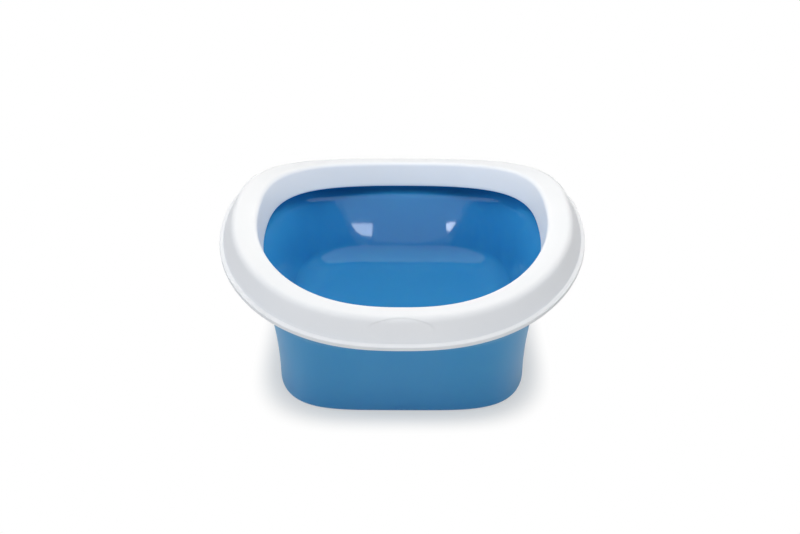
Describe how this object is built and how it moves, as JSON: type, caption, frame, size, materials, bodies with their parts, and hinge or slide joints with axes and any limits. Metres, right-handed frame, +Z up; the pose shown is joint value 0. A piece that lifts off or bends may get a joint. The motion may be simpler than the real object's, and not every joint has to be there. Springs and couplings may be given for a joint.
{
  "type": "open cat litter tray",
  "caption": "Open oval cat litter tray with leaning blue walls and a wide white arched rim that clips over its edge and lifts off.",
  "frame": {"origin": "middle of the tray's base, on the floor it stands on", "axes": "+Z up, +Y along the tray's length to the back, +X across it to the right"},
  "size_m": [0.31, 0.42, 0.1242],
  "materials": {
    "tray": "glossy moulded polypropylene",
    "rim": "satin moulded polypropylene"
  },
  "bodies": {
    "tray": {"tray": "tray"},
    "rim": {"rim": "rim"}
  },
  "joints": [
    {"name": "rim_lift", "type": "slide", "parent": "tray", "child": "rim", "axis": [0, 0, 1], "range_m": [0, 0.06]}
  ]
}
